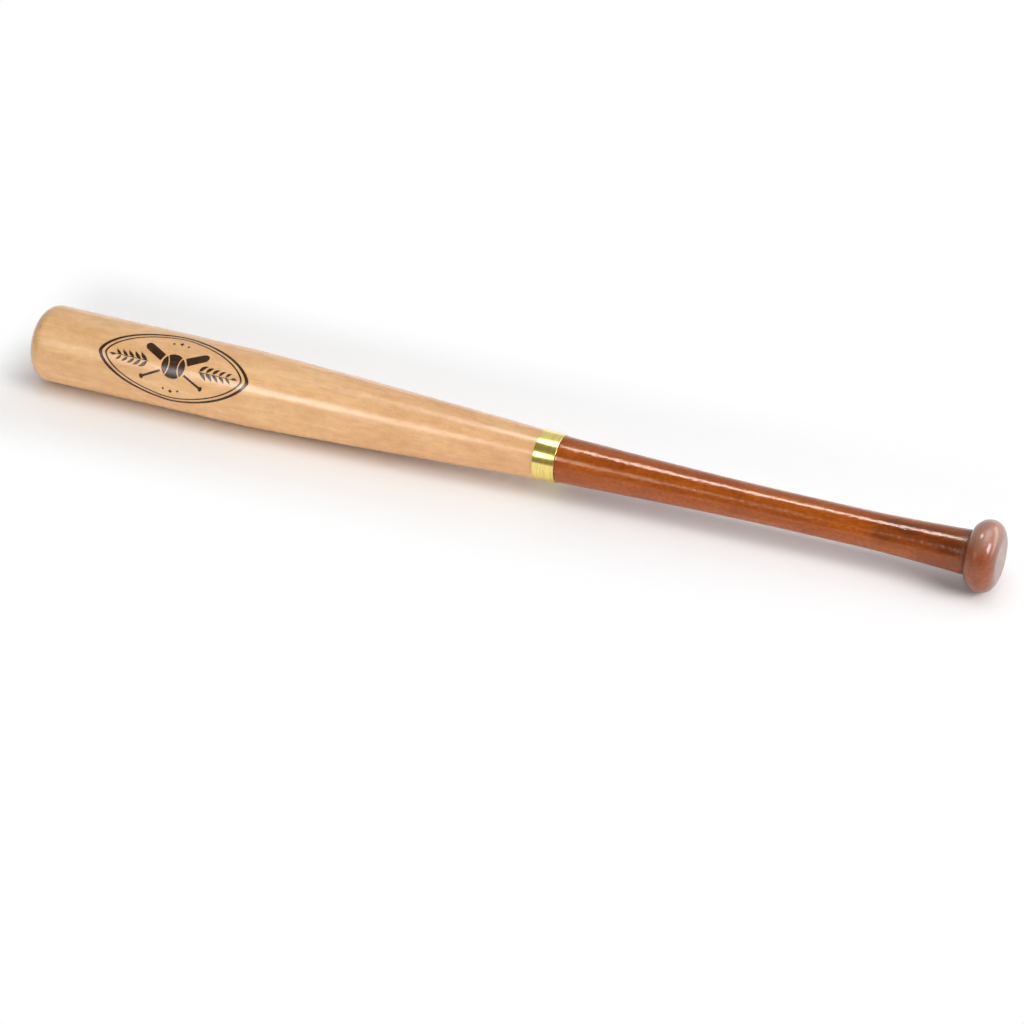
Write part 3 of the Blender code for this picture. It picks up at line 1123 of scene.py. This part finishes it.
softboxes = {
    "overheadBox": {
        "x": -0.64, "angle": 97.5, "distance": 1.45, "width": 0.56, "height": 1.06,
        "glow": 13.0, "rise": (0.04, 0.62), "falls": ((0.88, 1.0, 0.0),),
        "core": (0.34, 0.64, 0.05),
    },
    "frontBox": {
        "x": -0.889, "angle": 32.5, "distance": 1.45, "width": 0.862, "height": 1.06,
        "glow": 14.0, "rise": (0.0, 0.32),
        "falls": ((0.400, 0.700, 0.31), (0.777, 0.870, 0.45), (0.905, 0.985, 0.0)),
        "core": (0.36, 0.70, 0.05),
    },
    "sideBox": {
        "x": 1.86, "angle": 72, "distance": 1.51, "width": 1.15, "height": 1.47, "aimX": 0.0,
        "glow": 13.0, "rise": (0.0, 0.25), "falls": ((0.75, 1.0, 0.0),), "core": (0.80, 1.0, 0.0),
    },
    "backBox": {
        "x": 0.35, "angle": 102, "distance": 1.60, "width": 1.50, "height": 3.60, "aimX": 0.0,
        "glow": 3.4, "rise": (0.0, 0.40), "falls": ((0.60, 1.0, 0.0),), "core": (0.30, 1.0, 0.1),
    },
    "windowBox": {
        "x": 1.90, "angle": 153, "distance": 1.45, "width": 4.60, "height": 1.50, "aimX": 0.0,
        "glow": 4.0, "rise": (0.0, 0.25), "falls": ((0.75, 1.0, 0.0),), "core": (0.40, 1.0, 0.3),
    },
    "backCard": {
        "x": -0.30, "angle": 180, "distance": 3.0, "width": 7.0, "height": 3.2,
        "glow": 0.45, "rise": (0.0, 0.05), "falls": ((0.95, 1.0, 0.0),), "core": (0.0, 1.0, 0.0),
    },
}
boxRim = 0.82  # from here to the rim, across its height, a box fades out
lampTint = (0.97, 1.0, 1.05)  # the softboxes are a little cool
fillLamps = {
    "overheadFill": {
        "x": -0.30, "angle": 87, "distance": 1.80, "width": 1.80, "height": 0.90, "share": 0.215,
    },
    "frontFill": {
        "x": -0.30, "angle": 6, "distance": 1.80, "width": 1.80, "height": 0.50, "share": 0.42,
    },
    "sideFill": {
        "x": 2.80, "angle": 70, "distance": 2.27, "width": 1.72, "height": 2.20, "aimX": 0.0,
        "share": 0.88,
    },
}
room = {
    "front": 0.25,
    "wall": 0.70,
    "turn": (-0.2, 0.4),  # from the front to the wall, in the direction's Y
    "horizonFront": 0.25,
    "horizon": 1.0,
    "horizonTurn": (-0.2, 0.2),
    "horizonTop": (0.02, 0.12),
    "frontTint": (1.0, 0.95, 0.62, 1),  # seen only in gloss
}


def hangLamp(name, settings):
    lamp = bpy.data.lights.new(name, "AREA")
    lamp.shape = "RECTANGLE"
    lamp.size = settings["width"]
    lamp.size_y = settings["height"]
    angle = radians(settings["angle"])
    reach = settings["distance"]
    place = Vector((settings["x"], -reach * cos(angle), reach * sin(angle)))
    facing = place - Vector((settings.get("aimX", settings["x"]), 0, 0))
    if "glow" in settings:
        lamp.energy = settings["glow"] * pi * lamp.size * lamp.size_y
    else:
        lamp.energy = settings["share"] * pi ** 2 * facing.length_squared
    facing.normalize()
    upwards = facing.cross(Vector((1, 0, 0))).normalized()
    along = upwards.cross(facing)
    box = bpy.data.objects.new(name, lamp)
    box.location = place
    box.rotation_euler = Matrix((along, upwards, facing)).transposed().to_euler()
    box.visible_camera = False
    box.visible_diffuse = "share" in settings
    box.visible_glossy = "glow" in settings
    scene.collection.objects.link(box)
    return lamp


# A softbox is brightest along its middle and fades towards its ends. Falls and core say
# where a bright part ends along and across it, where its fade ends, and what is left there.
def shadeSoftbox(lamp, settings):
    lamp.use_nodes = True
    tree = lamp.node_tree
    spot = axesOf(tree, put(tree, "NewGeometry").outputs["Parametric"])
    across = calc(tree, "ABSOLUTE", fade(tree, spot["Y"], 0.0, 1.0, -1.0, 1.0))
    core, edge, past = settings["core"]
    level = fade(tree, across, core, edge, 1.0, past)
    level = times(tree, level, fade(tree, across, boxRim, 1.0, 1.0, 0.0))
    level = times(tree, level, fade(tree, spot["X"], *settings["rise"]))
    for drop, end, left in settings["falls"]:
        level = times(tree, level, fade(tree, spot["X"], drop, end, 1.0, left))
    fill(tree, tree.nodes["Emission"], {"Color": (*lampTint, 1), "Strength": level})


def paintRoom():
    world = bpy.data.worlds.new("studioRoom")
    world.use_nodes = True
    scene.world = world
    tree = world.node_tree
    axes = axesOf(tree, put(tree, "TexCoord").outputs["Generated"])
    level = fade(tree, axes["Y"], *room["turn"], room["front"], room["wall"])
    horizon = fade(tree, axes["Y"], *room["horizonTurn"], room["horizonFront"], room["horizon"])
    low = fade(tree, axes["Z"], *room["horizonTop"], 1.0, 0.0)
    keep = times(tree, level, calc(tree, "SUBTRACT", 1.0, low))
    level = calc(tree, "ADD", keep, times(tree, low, horizon))
    rays = put(tree, "LightPath").outputs
    level = calc(tree, "MAXIMUM", level, rays["Is Camera Ray"])
    inFront = fade(tree, axes["Y"], *room["turn"], 1.0, 0.0)
    mirrored = times(tree, inFront, rays["Is Glossy Ray"])
    tint = blend(tree, mirrored, (1, 1, 1, 1), room["frontTint"])
    fill(tree, tree.nodes["Background"], {"Color": tint, "Strength": level})


for name, settings in softboxes.items():
    shadeSoftbox(hangLamp(name, settings), settings)
for name, settings in fillLamps.items():
    hangLamp(name, settings)
paintRoom()

shot = {
    "lens": 147.66,  # millimetres
    "sensor": 36,
    "farEnd": 60,
    "place": Vector((0.5717, -2.2901, 1.6812)),
    "aim": Vector((-0.3319, -0.0738, 0.0)),
}


def aimCamera():
    lens = bpy.data.cameras.new("shot")
    lens.sensor_width = shot["sensor"]
    lens.lens = shot["lens"]
    lens.clip_end = shot["farEnd"]
    camera = bpy.data.objects.new("shot", lens)
    camera.location = shot["place"]
    camera.rotation_euler = (shot["aim"] - shot["place"]).to_track_quat("-Z", "Y").to_euler()
    scene.collection.objects.link(camera)
    scene.camera = camera


aimCamera()
scene.view_settings.view_transform = "Standard"
print("studio set")
